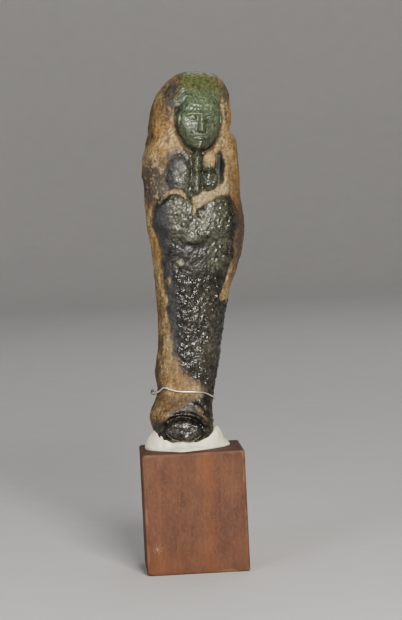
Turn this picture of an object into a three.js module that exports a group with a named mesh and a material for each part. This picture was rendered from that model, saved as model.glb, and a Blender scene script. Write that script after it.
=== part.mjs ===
// Moulded mummiform figurine held with putty and a wire on a square wooden block.
// Millimetres, +Z up. The origin is the centre of the block's underside; the figure faces -Y.
import * as THREE from 'three';

// ---------------------------------------------------------------- driving dimensions
const blockSide = 25.8; // one-inch stock
const blockHeight = 30.6;
const blockCornerRadius = 0.7; // upright edges, seen from above
const blockEdgeRound = 0.5; // top and bottom edges

const clearance = 0.3; // gap kept between touching pieces
const puttyUnderSole = 1.1; // putty left between the block and the sole

const figureHeight = 94;
const figureLean = 4.5; // degrees towards +X
const figureTurn = 13; // degrees that the head and chest look towards +X
const turnStart = 8; // the twist begins above the ankles
const turnEnd = 66; // and is complete at the chest
const soleX = -1.8;
const soleRound = 1.1; // edge of the sole
const crownBase = 80; // the crown is a dome above this height
const frontSquareness = 2.25; // superellipse exponents of the cross-section
const backSquareness = 2.9;
const crownSquareness = { left: 2, right: 3, front: 2.3, back: 2.3 };

// Half-widths and depths from the figure's axis, each [height, distance], sole to temples.
const leftOutline = [
  [0, 7], [2.9, 7.8], [5.8, 8.65], [8, 8.45], [10.6, 7.5], [13.2, 7.1], [17.5, 7.75], [24, 7.1],
  [33.5, 7.6], [46, 9.2], [57, 11.15], [66, 12.05], [71.5, 12.05], [75, 11.3], [80, 10.7],
];
const rightOutline = [
  [0, 6.2], [3, 7], [5.5, 7.15], [8.1, 6.85], [10.6, 6.95], [13.1, 7.25], [18.2, 7.9], [24, 8.45],
  [28.8, 8.95], [39, 10.45], [45, 12.4], [50, 13.45], [54.5, 13.9], [59.4, 13.5], [64.5, 12.55],
  [72, 11.85], [77.2, 11], [79.2, 9.6], [80, 9.55],
];
const frontProfile = [
  [0, 7.6], [3, 8.3], [7, 8], [11, 6.7], [15, 6.1], [24, 6.2], [36, 6.9], [47, 7.6], [56, 7.9],
  [66, 7.7], [73, 7.6], [80, 7.6],
];
const backProfile = [
  [0, 6.8], [4, 7.7], [8, 7.5], [14, 6], [24, 5.9], [38, 6.3], [50, 6.7], [62, 7.1], [80, 7.3],
];

// Carving, in millimetres across (from the middle line) and up (from the sole).
const face = {
  across: -0.4, middle: 82, halfWidth: 5.5, halfHeight: 7.6, raise: 0.8, dome: 0.95, groove: 0.65,
};
const brow = { height: 83.5, halfHeight: 0.8, droop: 0.12, raise: 0.4 };
const eye = { across: 2.05, height: 82.2, halfWidth: 1.15, halfHeight: 0.6, raise: 0.35 };
const eyeSocket = { halfWidth: 1.9, halfHeight: 1.5, depth: 0.4 };
const nose = { top: 82.9, base: 79.1, halfWidth: 1.15, raise: 1.15 };
const mouth = { height: 77.6, halfWidth: 1.9, lipHeight: 0.55, raise: 0.35 };
const chin = { height: 75.6, radius: 1.5, raise: 0.45 };
const ear = { across: 5.7, height: 81.8, halfWidth: 1, halfHeight: 2.1, raise: 0.55 };
const wigBand = { height: 88.2, raise: 0.2 };
const beard = { across: -0.9, top: 74.6, tip: 63.2, halfWidth: 1.5, raise: 1.2 };
const lappets = [ // rounded ends of the wig on the chest
  { across: -5.1, height: 68.2, halfWidth: 3.3, halfHeight: 5.8, raise: 1.3 },
  { across: 2.7, height: 67, halfWidth: 2.5, halfHeight: 3.3, raise: 1.2 },
  { across: 2.5, height: 71.4, halfWidth: 2.1, halfHeight: 3.8, raise: 0.6 },
];
const lappetFold = { from: [4.7, 65.5], to: [4.9, 73], halfWidth: 0.95, raise: 0.75 };
const arms = { bottom: 50.6, top: 63, apart: 5, halfWidth: 5.9, raise: 1.6, valley: 0.9 };
const toe = {
  across: -0.5, height: 3.6, halfWidth: 4.5, halfHeight: 3.05, raise: 1.9, groove: 0.85, lip: 0.25,
};
const instepRidges = [{ from: [-0.6, 11.2], to: [-6.2, 6.2] }, { from: [2.6, 9.9], to: [4.9, 7] }];
const instepRidge = { raise: 0.4, halfWidth: 1 };
const footRim = { across: 6.2, middle: 5, bend: 0.045, bottom: 1.5, top: 11, halfWidth: 1.3, raise: 0.7 };
const wigHem = { height: 66.5, raise: 0.45 }; // across the back
const neckNotch = { left: 77.3, right: 79.9, halfHeight: 1.7, cutLeft: 0.5, cutRight: 0.75 };

// Wire round the ankles: [degrees round from the front, height, distance off the surface].
const wireRadius = 0.22;
const wireRoute = [
  [-112, 12.3, 1.15], [-92, 12.4, 1.15], [-66, 12.8, 0.7], [-54, 13.4, 0.8], [-43, 14.25, 0.95],
  [-30, 13.9, 0.75], [-14, 13.45, 0.6], [12, 13.45, 0.6], [34, 13.2, 0.6], [62, 12.1, 0.65],
  [92, 11.3, 0.8], [140, 11.6, 0.65], [200, 12.1, 0.65], [226, 12.3, 0.7],
];
const wireTwist = { turns: 1.5, radius: 0.55, pitch: 0.58 };

// Putty pressed up round the foot: [degrees round from the front, millimetres].
const puttyContact = [ // height up the foot
  [-180, 1.6], [-120, 2.2], [-92, 3.1], [-68, 2.9], [-50, 1.9], [-39, 1.2], [-26, 0.4], [-8, 0.9],
  [28, 0.9], [40, 1.4], [52, 2.3], [66, 3.5], [82, 4.1], [102, 3.5], [130, 2.2], [180, 1.6],
];
const puttyRim = [ // distance of its outer edge from the middle of the sole
  [-180, 10.6], [-145, 10.6], [-118, 10.5], [-96, 9.9], [-62, 9.2], [-40, 9], [-24, 9.5],
  [-3, 11.2], [14, 9.9], [36, 9.5], [62, 9.9], [84, 11.2], [97, 11.8], [110, 10.9], [140, 10.2],
  [180, 10.6],
];
const puttySlope = [ // above 1 the flank bulges, below 1 it is hollow
  [-180, 0.8], [-100, 0.95], [-30, 0.7], [20, 0.8], [50, 1.3], [90, 1.4], [130, 1.1], [180, 0.8],
];
const puttyLobe = [ // how far it is pressed up beside the foot
  [-180, 0], [-85, 0.1], [-40, 0], [44, 0], [60, 0.7], [82, 1.3], [102, 1], [130, 0.2], [180, 0],
];
const puttyLobeFlank = { middle: 0.38, reach: 0.38 }; // shares of the way from the foot to the rim
const puttyEdge = 0.5; // thickness at the rim

// ---------------------------------------------------------------- small formulas
const radians = THREE.MathUtils.degToRad;

// 0 below low, 1 above high, with an S-curve between them.
const ease = (low, high, value) => THREE.MathUtils.smoothstep(value, low, high);

// A rounded hill, 1 in its middle and 0 at one half-width and beyond.
const hill = (offset, halfWidth) => Math.max(0, 1 - (offset / halfWidth) ** 2) ** 2;

// How far inside an ellipse: 1 at its centre, 0 on its edge, negative outside.
const inside = (across, up, halfWidth, halfHeight) => 1 - Math.hypot(across / halfWidth, up / halfHeight);

// A smooth curve through [height, value] points: cubic pieces whose slopes follow their neighbours.
function along(points, height) {
  const last = points.length - 1;
  if (height <= points[0][0]) return points[0][1];
  if (height >= points[last][0]) return points[last][1];
  const i = points.findIndex(([h]) => h > height) - 1;
  const slope = (k) => {
    const [before, after] = [points[Math.max(k - 1, 0)], points[Math.min(k + 1, last)]];
    return (after[1] - before[1]) / (after[0] - before[0]);
  };
  const [[h0, v0], [h1, v1]] = [points[i], points[i + 1]];
  const span = h1 - h0;
  const t = (height - h0) / span;
  return v0 * (1 + 2 * t) * (1 - t) ** 2 + v1 * t * t * (3 - 2 * t)
    + span * (slope(i) * t * (1 - t) ** 2 - slope(i + 1) * t * t * (1 - t));
}

// ---------------------------------------------------------------- carving of the figure
// Each function gives millimetres of relief at a place on the front.

function faceCarving(fromMiddle, height) {
  const across = fromMiddle - face.across;
  const side = Math.abs(across);
  const oval = inside(across, height - face.middle, face.halfWidth, face.halfHeight);
  const dome = Math.sqrt(Math.max(0, 1 - (1 - oval) ** 2));
  const plane = (face.raise * ease(-0.04, 0.3, oval) + face.dome * dome) * (1 - 0.5 * ease(82, 91, height));
  const groove = face.groove * hill(oval + 0.12, 0.16) * (1 - ease(84, 87, height));
  const browLine = hill(height - brow.height + brow.droop * side, brow.halfHeight)
    * (1 - ease(3, 4.2, side));
  const eyeOval = inside(side - eye.across, height - eye.height, eye.halfWidth, eye.halfHeight);
  const eyeball = ease(0, 0.5, eyeOval);
  const socket = hill(side - eye.across, eyeSocket.halfWidth)
    * hill(height - eye.height, eyeSocket.halfHeight);
  const down = (nose.top - height) / (nose.top - nose.base);
  const noseWidth = nose.halfWidth * (0.6 + 0.4 * Math.max(0, Math.min(down, 1)));
  const noseLine = down > 0
    ? nose.raise * (0.35 + 0.65 * down) * (1 - ease(1, 1.2, down))
    : 0.35 * hill(down, 0.35);
  const lip = (middle) => hill(height - middle, mouth.lipHeight);
  const lips = hill(side, mouth.halfWidth) * (lip(mouth.height - 0.5) + lip(mouth.height + 0.5));
  const chinBall = hill(across, chin.radius) * hill(height - chin.height, chin.radius);
  const earOval = inside(side - ear.across, height - ear.height, ear.halfWidth, ear.halfHeight);
  const ears = ease(0, 0.5, earOval);
  const band = ease(-0.5, 0.5, height - wigBand.height + 0.05 * across ** 2) * ease(-0.3, 0, oval);
  return plane - groove - eyeSocket.depth * socket + noseLine * hill(across, noseWidth)
    + brow.raise * browLine + eye.raise * eyeball + mouth.raise * lips
    + chin.raise * chinBall + ear.raise * ears + wigBand.raise * band;
}

function chestCarving(across, height) {
  const lumps = lappets.map(({ across: middle, height: level, halfWidth, halfHeight, raise }) => (
    raise * ease(0, 0.6, inside(across - middle, height - level, halfWidth, halfHeight))
  ));
  const foldLine = ridge(across, height, lappetFold.from, lappetFold.to, lappetFold.halfWidth);
  const fold = lappetFold.raise * foldLine;
  const strand = beard.raise * hill(across - beard.across, beard.halfWidth)
    * ease(-0.6, 0.8, height - beard.tip) * (1 - ease(0, 1.5, height - beard.top));
  return Math.max(...lumps, fold, strand);
}

function armCarving(across, height) {
  const middle = (arms.top + arms.bottom) / 2;
  const halfHeight = (arms.top - arms.bottom) / 2;
  const lobe = (x) => inside(across - x, height - middle - 0.4, arms.halfWidth, halfHeight);
  const lap = inside(across, height - middle + 1.6, arms.halfWidth + 2.2, halfHeight - 1.2);
  const bulge = Math.max(lobe(-arms.apart), lobe(arms.apart), lap);
  const softness = 0.28 + 0.3 * ease(0, 4, middle - height);
  const valley = arms.valley * hill(across, 2) * ease(-4, 4, height - middle);
  return arms.raise * ease(0, softness, bulge) - valley * ease(0, 0.2, bulge);
}

// A ridge along the straight line between two places.
function ridge(across, height, from, to, halfWidth) {
  const [dx, dz] = [to[0] - from[0], to[1] - from[1]];
  const reach = ((across - from[0]) * dx + (height - from[1]) * dz) / (dx * dx + dz * dz);
  const t = THREE.MathUtils.clamp(reach, 0, 1);
  return hill(Math.hypot(across - from[0] - t * dx, height - from[1] - t * dz), halfWidth);
}

function footCarving(across, height) {
  const oval = inside(across - toe.across, height - toe.height, toe.halfWidth, toe.halfHeight);
  const pad = toe.raise * ease(0, 0.3, oval);
  const groove = toe.groove * hill(oval + 0.14, 0.2) * ease(2, 5, height);
  const lip = toe.lip * hill(oval + 0.4, 0.2) * ease(3, 6, height);
  const folds = instepRidges.map(({ from, to }) => ridge(across, height, from, to, instepRidge.halfWidth));
  const rimMiddle = footRim.across - footRim.bend * (height - footRim.middle) ** 2;
  const rimEnds = ease(-1, 1, height - footRim.bottom) * (1 - ease(-2, 1, height - footRim.top));
  const rim = footRim.raise * hill(across - rimMiddle, footRim.halfWidth) * rimEnds;
  return pad - groove + lip + rim + instepRidge.raise * Math.max(...folds);
}

function carving(across, height, facing) {
  const front = ease(0.05, 0.5, facing);
  const back = wigHem.raise * ease(-0.6, 0.6, height - wigHem.height) * ease(0, 0.5, -facing);
  const [notchHeight, notchCut] = across < 0
    ? [neckNotch.left, neckNotch.cutLeft]
    : [neckNotch.right, neckNotch.cutRight];
  const notch = notchCut * hill(height - notchHeight, neckNotch.halfHeight) * hill(facing, 0.7);
  return back - notch + front * (faceCarving(across, height) + chestCarving(across, height)
    + armCarving(across, height) + footCarving(across, height));
}

// ---------------------------------------------------------------- skin of the figure
// A closed skin: rings of points between a first and a last point, wound to face outwards.
function closedSkin(rings, first, last) {
  const columns = rings[0].length;
  const positions = [first, ...rings.flat(), last].flatMap((p) => [p.x, p.y, p.z]);
  const lastIndex = 1 + rings.length * columns;
  const at = (row, column) => 1 + row * columns + (column % columns);
  const faces = [];
  for (let column = 0; column < columns; column += 1) {
    faces.push(0, at(0, column + 1), at(0, column));
    faces.push(lastIndex, at(rings.length - 1, column), at(rings.length - 1, column + 1));
    for (let row = 0; row + 1 < rings.length; row += 1) {
      faces.push(at(row, column), at(row, column + 1), at(row + 1, column + 1));
      faces.push(at(row, column), at(row + 1, column + 1), at(row + 1, column));
    }
  }
  const geometry = new THREE.BufferGeometry();
  geometry.setAttribute('position', new THREE.Float32BufferAttribute(positions, 3));
  geometry.setIndex(faces);
  return geometry;
}

// How much of the section's radius is left at a height in the crown's dome.
function crownScale(height, squareness) {
  const up = THREE.MathUtils.clamp((height - crownBase) / (figureHeight - crownBase), 0, 1);
  return (1 - up ** squareness) ** (1 / squareness);
}

// A point of the skin. The angle runs round from the front towards +X; grow moves it outwards.
function figurePoint(angle, height, scale = 1, grow = 0) {
  const [across, away] = [Math.sin(angle), -Math.cos(angle)];
  const [width, widthCrown] = across < 0
    ? [along(leftOutline, height), crownSquareness.left]
    : [along(rightOutline, height), crownSquareness.right];
  const [depth, depthCrown, power] = away < 0
    ? [along(frontProfile, height), crownSquareness.front, 2 / frontSquareness]
    : [along(backProfile, height), crownSquareness.back, 2 / backSquareness];
  let x = width * Math.sign(across) * Math.abs(across) ** power;
  let y = depth * Math.sign(away) * Math.abs(away) ** power;
  const normal = new THREE.Vector2(x / width ** 2, y / depth ** 2).normalize();
  const crown = crownScale(height, depthCrown);
  const relief = carving(x, height, -y / depth) * crown + grow;
  x = x * crownScale(height, widthCrown) + normal.x * relief;
  y = y * crown + normal.y * relief;
  const turn = radians(figureTurn) * ease(turnStart, turnEnd, height);
  return new THREE.Vector3(
    scale * (x * Math.cos(turn) - y * Math.sin(turn)),
    scale * (x * Math.sin(turn) + y * Math.cos(turn)),
    height,
  );
}

// Heights of the rings: close together on the foot, the arms and the face, wider on the legs.
function ringHeights() {
  const browHeight = 88;
  const bands = [[soleRound, 12, 9], [12, 50, 10], [50, 66, 11], [66, 74, 4], [74, browHeight, 14]];
  const heights = bands.flatMap(([low, high, count]) => (
    Array.from({ length: count }, (_, i) => low + ((high - low) * i) / count)
  ));
  const crownRings = 6;
  const domeHeight = figureHeight - crownBase;
  const firstAngle = Math.asin((browHeight - crownBase) / domeHeight);
  for (let i = 0; i < crownRings; i += 1) {
    const angle = THREE.MathUtils.lerp(firstAngle, Math.PI / 2, i / crownRings);
    heights.push(crownBase + domeHeight * Math.sin(angle));
  }
  return heights;
}

// The sole's edge is rounded: how much of the section is left just above the ground.
const soleScale = (height) => 1 - 0.14 * Math.max(0, 1 - height / soleRound) ** 2;

function figureSkin() {
  const columns = 58;
  const crowding = 0.45; // more columns at the front, where the carving is
  const angleAt = (column) => {
    const turn = (2 * Math.PI * column) / columns;
    return turn - crowding * Math.sin(turn);
  };
  const ring = (height, scale) => (
    Array.from({ length: columns }, (_, column) => figurePoint(angleAt(column), height, scale))
  );
  const rings = [
    ring(0, 0.5 * soleScale(0)),
    ...[0, 0.35 * soleRound, ...ringHeights()].map((height) => ring(height, soleScale(height))),
  ];
  return closedSkin(rings, new THREE.Vector3(), new THREE.Vector3(0, 0, figureHeight));
}

// ---------------------------------------------------------------- pieces
const figureGroup = new THREE.Group();
figureGroup.position.set(soleX, 0, blockHeight + clearance + puttyUnderSole);
figureGroup.rotation.y = radians(figureLean);
figureGroup.updateMatrixWorld(true);

function makeFigurine() {
  const glazedBody = new THREE.MeshStandardMaterial({ color: 0x4f4634, roughness: 0.35, metalness: 0 });
  const mesh = new THREE.Mesh(figureSkin(), glazedBody);
  mesh.name = 'figurine';
  return mesh;
}

// Rings run out under the sole, up the foot, over the lip, down to the rim and back below.
function makePutty() {
  const putty = { columns: 60, up: [0.4, 0.8, 1], out: [0.15, 0.35, 0.6, 0.82, 1] };
  const top = blockHeight + clearance;
  const step = (2 * Math.PI) / putty.columns;
  const angles = Array.from({ length: putty.columns }, (_, i) => i * step - Math.PI);
  const ring = (place) => angles.map((angle) => place(angle, THREE.MathUtils.radToDeg(angle)));
  const onFoot = (angle, height) => (
    figurePoint(angle, height, soleScale(height), clearance).applyMatrix4(figureGroup.matrixWorld)
  );
  const underSole = (angle, scale) => {
    const point = figurePoint(angle, 0, scale * soleScale(0), clearance);
    point.z -= clearance;
    return point.applyMatrix4(figureGroup.matrixWorld);
  };
  const atRim = (angle, degrees) => {
    const reach = along(puttyRim, degrees);
    return new THREE.Vector3(soleX + reach * Math.sin(angle), -reach * Math.cos(angle), top + puttyEdge);
  };
  const flank = (share) => ring((angle, degrees) => {
    const lip = onFoot(angle, along(puttyContact, degrees));
    const point = lip.clone().lerp(atRim(angle, degrees), share);
    point.z = THREE.MathUtils.lerp(lip.z, top + puttyEdge, share ** along(puttySlope, degrees));
    point.z += along(puttyLobe, degrees) * hill(share - puttyLobeFlank.middle, puttyLobeFlank.reach);
    return point;
  });
  const below = (share) => ring((angle, degrees) => {
    const point = atRim(angle, degrees);
    return new THREE.Vector3(soleX + share * (point.x - soleX), share * point.y, top);
  });
  const rings = [
    ring((angle) => underSole(angle, 0.5)),
    ring((angle) => underSole(angle, 1)),
    ...putty.up.map((share) => ring((angle, degrees) => (
      onFoot(angle, share * along(puttyContact, degrees))
    ))),
    ...putty.out.map((share) => flank(share)),
    below(0.97),
  ];
  const underMiddle = new THREE.Vector3(0, 0, -clearance).applyMatrix4(figureGroup.matrixWorld);
  const geometry = closedSkin(rings.reverse(), new THREE.Vector3(soleX, 0, top), underMiddle);
  const creamPutty = new THREE.MeshStandardMaterial({ color: 0xe6dfcf, roughness: 0.6, metalness: 0 });
  const mesh = new THREE.Mesh(geometry, creamPutty);
  mesh.name = 'putty_seat';
  return mesh;
}

function makeBlock() {
  const half = blockSide / 2 - blockEdgeRound;
  const round = blockCornerRadius;
  const plan = new THREE.Shape();
  plan.moveTo(-half + round, -half);
  plan.lineTo(half - round, -half);
  plan.absarc(half - round, -half + round, round, -Math.PI / 2, 0);
  plan.absarc(half - round, half - round, round, 0, Math.PI / 2);
  plan.absarc(-half + round, half - round, round, Math.PI / 2, Math.PI);
  plan.absarc(-half + round, -half + round, round, Math.PI, 1.5 * Math.PI);
  const geometry = new THREE.ExtrudeGeometry(plan, {
    depth: blockHeight - 2 * blockEdgeRound,
    bevelSize: blockEdgeRound,
    bevelThickness: blockEdgeRound,
    bevelSegments: 2,
    curveSegments: 3,
  });
  geometry.translate(0, 0, blockEdgeRound);
  const mahogany = new THREE.MeshStandardMaterial({ color: 0x7d4a35, roughness: 0.6, metalness: 0 });
  const mesh = new THREE.Mesh(geometry, mahogany);
  mesh.name = 'wooden_block';
  return mesh;
}

// The wire starts at the left ankle, crosses the front, runs round the back and ends wrapped on itself.
function makeWire() {
  const around = (degrees) => {
    const column = (index) => wireRoute.map((stop) => [stop[0], stop[index]]);
    return figurePoint(radians(degrees), along(column(1), degrees), 1, along(column(2), degrees));
  };
  const route = [];
  const [firstDegrees, lastDegrees, stepDegrees] = [wireRoute[0][0], wireRoute.at(-1)[0], 8];
  for (let degrees = firstDegrees; degrees < lastDegrees; degrees += stepDegrees) {
    route.push(around(degrees));
  }
  const start = route[0];
  const forward = route[1].clone().sub(start).normalize();
  const upward = new THREE.Vector3(0, 0, 1);
  const outward = new THREE.Vector3().crossVectors(upward, forward).normalize().negate();
  const stepsPerTurn = 8;
  for (let i = 0; i <= wireTwist.turns * stepsPerTurn; i += 1) {
    const turn = (2 * Math.PI * i) / stepsPerTurn;
    const advance = wireTwist.pitch * (i / stepsPerTurn + 0.35);
    route.push(start.clone()
      .addScaledVector(forward, advance)
      .addScaledVector(upward, -wireTwist.radius * Math.cos(turn))
      .addScaledVector(outward, wireTwist.radius * Math.sin(turn)));
  }
  const sides = 6;
  const section = new THREE.Shape(Array.from({ length: sides }, (_, i) => (
    new THREE.Vector2(wireRadius, 0).rotateAround(new THREE.Vector2(), (2 * Math.PI * i) / sides)
  )));
  const geometry = new THREE.ExtrudeGeometry(section, {
    steps: 116,
    bevelEnabled: false,
    extrudePath: new THREE.CatmullRomCurve3(route),
  });
  const steel = new THREE.MeshStandardMaterial({ color: 0xb9b4a8, roughness: 0.3, metalness: 1 });
  const mesh = new THREE.Mesh(geometry, steel);
  mesh.name = 'ankle_wire';
  return mesh;
}

figureGroup.add(makeFigurine(), makeWire());
const part = new THREE.Group();
part.add(makeBlock(), makePutty(), figureGroup);

export default part;
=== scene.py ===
# Ushabti figurine held with putty and a wire on a wooden block: fine meshes, materials, light, camera.
from math import cos, radians, sin
import bpy
import numpy as np
from mathutils import Matrix, Vector


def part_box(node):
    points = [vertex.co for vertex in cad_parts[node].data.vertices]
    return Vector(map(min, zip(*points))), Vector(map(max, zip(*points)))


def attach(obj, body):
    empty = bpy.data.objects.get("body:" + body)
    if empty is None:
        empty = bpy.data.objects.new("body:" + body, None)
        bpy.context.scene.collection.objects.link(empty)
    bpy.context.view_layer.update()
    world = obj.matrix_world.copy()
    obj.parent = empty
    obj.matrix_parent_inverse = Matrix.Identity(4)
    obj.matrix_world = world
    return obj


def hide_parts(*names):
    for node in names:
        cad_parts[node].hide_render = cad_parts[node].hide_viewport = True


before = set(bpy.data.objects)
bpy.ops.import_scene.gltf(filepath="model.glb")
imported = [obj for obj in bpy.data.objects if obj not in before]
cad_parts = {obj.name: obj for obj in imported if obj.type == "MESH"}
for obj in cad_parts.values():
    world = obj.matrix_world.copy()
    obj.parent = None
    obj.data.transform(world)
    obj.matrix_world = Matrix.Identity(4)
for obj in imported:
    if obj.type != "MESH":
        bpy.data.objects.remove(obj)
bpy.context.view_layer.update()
print("stage: frame loaded")

mm = 0.001  # metres


# S-curve: 3t^2 - 2t^3, where t runs from 0 at low to 1 at high
def ease(low, high, value):
    share = np.clip((value - low) / (high - low), 0, 1)
    return share * share * (3 - 2 * share)


# rounded hill: (1 - (offset / halfWidth)^2)^2, and 0 past the half-width
def hill(offset, halfWidth):
    return np.maximum(0, 1 - (offset / halfWidth) ** 2) ** 2


# place inside an ellipse: 1 at its centre, 0 on its edge, negative outside
def inside(across, up, halfWidth, halfHeight):
    return 1 - np.hypot(across / halfWidth, up / halfHeight)


# smooth curve through [place, value] points: cubic pieces with the slope of their neighbours
def along(points, place):
    x, y = np.array(points, float).T
    slope = np.empty_like(y)
    slope[1:-1] = (y[2:] - y[:-2]) / (x[2:] - x[:-2])
    slope[0] = (y[1] - y[0]) / (x[1] - x[0])
    slope[-1] = (y[-1] - y[-2]) / (x[-1] - x[-2])
    place = np.clip(place, x[0], x[-1])
    i = np.clip(np.searchsorted(x, place, side="right") - 1, 0, len(x) - 2)
    span = x[i + 1] - x[i]
    t = (place - x[i]) / span
    ends = y[i] * (1 + 2 * t) * (1 - t) ** 2 + y[i + 1] * t * t * (3 - 2 * t)
    return ends + span * (slope[i] * t * (1 - t) ** 2 - slope[i + 1] * t * t * (1 - t))


# random number from 0 to 1 for each cell of a grid: an integer hash of its three counts
def hashOf(cells, seed):
    x, y, z = np.moveaxis(cells.astype(np.int64).astype(np.uint32), -1, 0)
    mixed = x * np.uint32(374761393) + y * np.uint32(668265263) + z * np.uint32(2246822519)
    mixed = mixed + np.uint32(seed * 3266489917 % 4294967296)
    mixed = (mixed ^ (mixed >> np.uint32(13))) * np.uint32(1274126177)
    mixed = (mixed ^ (mixed >> np.uint32(15))) * np.uint32(2654435761)
    return (mixed ^ (mixed >> np.uint32(16))) / 4294967296.0


# smooth noise from -1 to 1: random corner values of a grid of this size, blended with S-curves
def noise(points, size, seed):
    scaled = points / size
    corner = np.floor(scaled)
    share = scaled - corner
    share = share * share * (3 - 2 * share)
    total = 0
    for step in np.ndindex(2, 2, 2):
        weight = np.prod(np.where(np.array(step) == 1, share, 1 - share), axis=-1)
        total = total + weight * hashOf(corner + np.array(step), seed)
    return 2 * total - 1


# distance to the nearest of one random point a cell, in cell sizes, and that point's own number
def cells(points, size, seed):
    scaled = points / size
    corner = np.floor(scaled)
    nearest = np.full(points.shape[:-1], 9.0)
    number = np.zeros(points.shape[:-1])
    for step in np.ndindex(3, 3, 3):
        cell = corner + np.array(step) - 1
        jitter = np.stack([hashOf(cell, seed + k) for k in (1, 2, 3)], axis=-1)
        distance = np.linalg.norm(scaled - cell - jitter, axis=-1)
        closer = distance < nearest
        nearest = np.where(closer, distance, nearest)
        number = np.where(closer, hashOf(cell, seed + 4), number)
    return nearest, number


# a closed skin: rings of points between a first and a last point, wound to face outwards
def closedSkin(name, rings, first, last, attributes=None):
    rows, columns, _ = rings.shape
    points = np.concatenate([[first], rings.reshape(-1, 3), [last]])
    at = 1 + np.arange(rows * columns).reshape(rows, columns)
    after = np.roll(at, -1, axis=1)
    quads = np.stack([at[:-1], after[:-1], after[1:], at[1:]], axis=-1).reshape(-1, 4)
    under = np.stack([np.zeros(columns, int), after[0], at[0]], axis=-1)
    over = np.stack([np.full(columns, len(points) - 1), at[-1], after[-1]], axis=-1)
    mesh = bpy.data.meshes.new(name)
    mesh.vertices.add(len(points))
    mesh.vertices.foreach_set("co", points.ravel())
    corners = np.concatenate([quads.ravel(), under.ravel(), over.ravel()])
    sizes = np.concatenate([np.full(len(quads), 4), np.full(2 * columns, 3)])
    mesh.loops.add(len(corners))
    mesh.loops.foreach_set("vertex_index", corners.astype(np.int32))
    mesh.polygons.add(len(sizes))
    mesh.polygons.foreach_set("loop_start", (np.cumsum(sizes) - sizes).astype(np.int32))
    mesh.update(calc_edges=True)
    mesh.validate()
    mesh.polygons.foreach_set("use_smooth", np.ones(len(sizes), bool))
    for key, values in (attributes or {}).items():
        whole = np.concatenate([values[:1, 0], values.reshape(-1, values.shape[-1]), values[-1:, 0]])
        layer = mesh.attributes.new(key, "FLOAT_COLOR", "POINT")
        layer.data.foreach_set("color", whole.astype(np.float32).ravel())
    piece = bpy.data.objects.new(name, mesh)
    bpy.context.scene.collection.objects.link(piece)
    return piece


# unit normals of a grid of rings: cross product of the steps round a ring and up the rows
def gridNormals(rings):
    roundStep = np.roll(rings, -1, axis=1) - np.roll(rings, 1, axis=1)
    upStep = np.gradient(rings, axis=0)
    normal = np.cross(roundStep, upStep)
    return normal / np.maximum(np.linalg.norm(normal, axis=-1, keepdims=True), 1e-12)


# a rigid move of points in millimetres: lean about Y, then shift
def leaned(points, degrees, shift):
    turn = np.array(Matrix.Rotation(radians(degrees), 3, "Y"))
    return points @ turn.T + np.array(shift)


# a node's output, on which arithmetic makes Math nodes
class Value:
    def __init__(self, shader, socket):
        self.shader = shader
        self.socket = socket

    def __add__(self, other):
        return self.shader.maths("ADD", self, other)

    def __sub__(self, other):
        return self.shader.maths("SUBTRACT", self, other)

    def __rsub__(self, other):
        return self.shader.maths("SUBTRACT", other, self)

    def __mul__(self, other):
        return self.shader.maths("MULTIPLY", self, other)

    def __pow__(self, other):
        return self.shader.maths("POWER", self, other)

    def __abs__(self):
        return self.shader.maths("ABSOLUTE", self)

    __radd__ = __add__
    __rmul__ = __mul__


class Shader:
    def __init__(self, name):
        self.material = bpy.data.materials.new(name)
        self.material.use_nodes = True
        self.nodes = self.material.node_tree.nodes
        self.links = self.material.node_tree.links
        self.nodes.clear()

    # one node: its settings first, then values or links into its sockets
    def node(self, kind, settings=None, inputs=None, output=0):
        made = self.nodes.new(kind)
        for key, value in (settings or {}).items():
            setattr(made, key, value)
        for key, value in (inputs or {}).items():
            if isinstance(value, Value):
                self.links.new(value.socket, made.inputs[key])
            else:
                made.inputs[key].default_value = value
        return Value(self, made.outputs[output])

    def maths(self, operation, first, second=None):
        inputs = {0: first} if second is None else {0: first, 1: second}
        return self.node("ShaderNodeMath", {"operation": operation}, inputs)

    # S-curve from 0 at low to 1 at high
    def ease(self, low, high, value):
        inputs = {"Value": value, "From Min": low, "From Max": high}
        return self.node("ShaderNodeMapRange", {"interpolation_type": "SMOOTHSTEP"}, inputs)

    def mix(self, share, first, second):
        colours = {0: share, 6: first, 7: second}
        return self.node("ShaderNodeMix", {"data_type": "RGBA"}, colours, 2)

    def place(self):
        return self.node("ShaderNodeTexCoord", output="Object")

    # the object's own coordinates, stretched by three factors
    def stretched(self, factors):
        return self.node("ShaderNodeVectorMath", {"operation": "MULTIPLY"}, {0: self.place(), 1: factors})

    def noise(self, vector, scale, detail=3.0, roughness=0.55):
        inputs = {"Vector": vector, "Scale": scale, "Detail": detail, "Roughness": roughness}
        return self.node("ShaderNodeTexNoise", None, inputs)

    # one random point a cell: the distance to it, or its own random colour
    def cells(self, vector, scale, output):
        return self.node("ShaderNodeTexVoronoi", None, {"Vector": vector, "Scale": scale}, output)

    # the three parts of a vector or colour, as three values
    def split(self, vector):
        parts = self.node("ShaderNodeSeparateXYZ", None, {0: vector})
        return [Value(self, socket) for socket in parts.socket.node.outputs]

    def attribute(self, name):
        return self.node("ShaderNodeAttribute", {"attribute_name": name}, output="Color")

    # a Normal tilted by a height, over a distance in metres
    def bump(self, height, strength, distance):
        inputs = {"Height": height, "Strength": strength, "Distance": distance}
        return self.node("ShaderNodeBump", None, inputs)

    # the finished surface: one Principled shader to the output
    def finish(self, inputs):
        surface = self.node("ShaderNodeBsdfPrincipled", None, inputs)
        output = self.nodes.new("ShaderNodeOutputMaterial")
        self.links.new(surface.socket, output.inputs["Surface"])
        return self.material


# angles in degrees, distance and target in metres, lens in millimetres
view = {
    "azimuth": -2.62, "elevation": 3.25, "roll": -2.8,
    "distance": 721 * mm, "target": Vector((4.24, 0, 65.4)) * mm, "lens": 165,
}


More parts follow.
